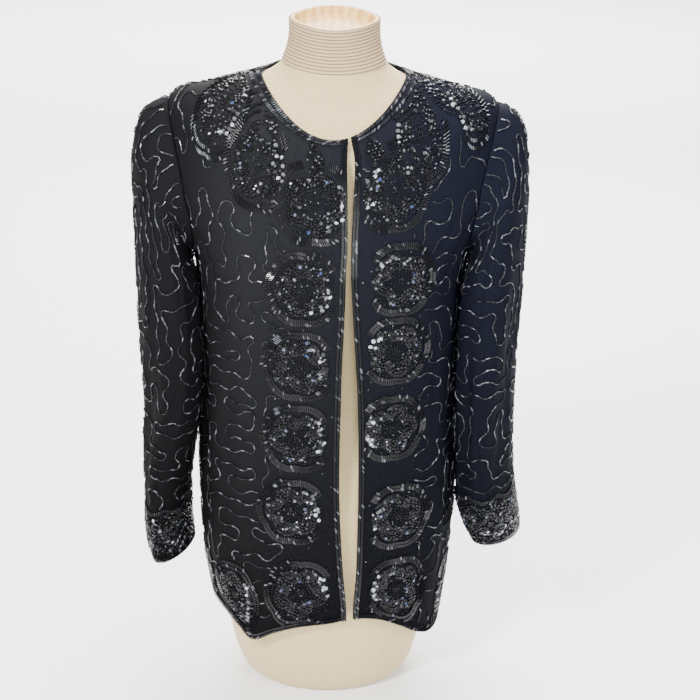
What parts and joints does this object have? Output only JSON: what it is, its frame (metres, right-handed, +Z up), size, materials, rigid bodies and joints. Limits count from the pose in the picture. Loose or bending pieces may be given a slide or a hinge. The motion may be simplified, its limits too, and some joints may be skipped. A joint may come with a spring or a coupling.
{
  "type": "beaded cardigan on dress form",
  "caption": "Long-sleeved beaded evening cardigan jacket, open down the front, worn by a limbless jersey dress form that stands on its flat base.",
  "frame": {"origin": "on the floor under the middle of the object's box", "axes": "+Z up, -Y the front of the garment, +X the wearer's left"},
  "size_m": [0.5036, 0.2632, 0.887],
  "materials": {
    "crepe": "black silk crepe with a soft sheen",
    "beads": "glossy black glass beads and sequins",
    "jersey": "ivory stretch jersey",
    "jersey_rib": "ivory ribbed jersey",
    "wood_cap": "pale varnished wood"
  },
  "bodies": {
    "root": {"dress_form": "jersey", "neck_ribbing": "jersey_rib", "neck_cap": "wood_cap", "front_right": "crepe", "front_left": "crepe", "back": "crepe", "sleeve_right": "crepe", "sleeve_left": "crepe", "neck_edging": "beads", "front_edging_right": "beads", "front_edging_left": "beads", "hem_edging_right": "beads", "hem_edging_left": "beads", "hem_edging_back": "beads", "cuff_edging_right": "beads", "cuff_edging_left": "beads"}
  },
  "joints": []
}
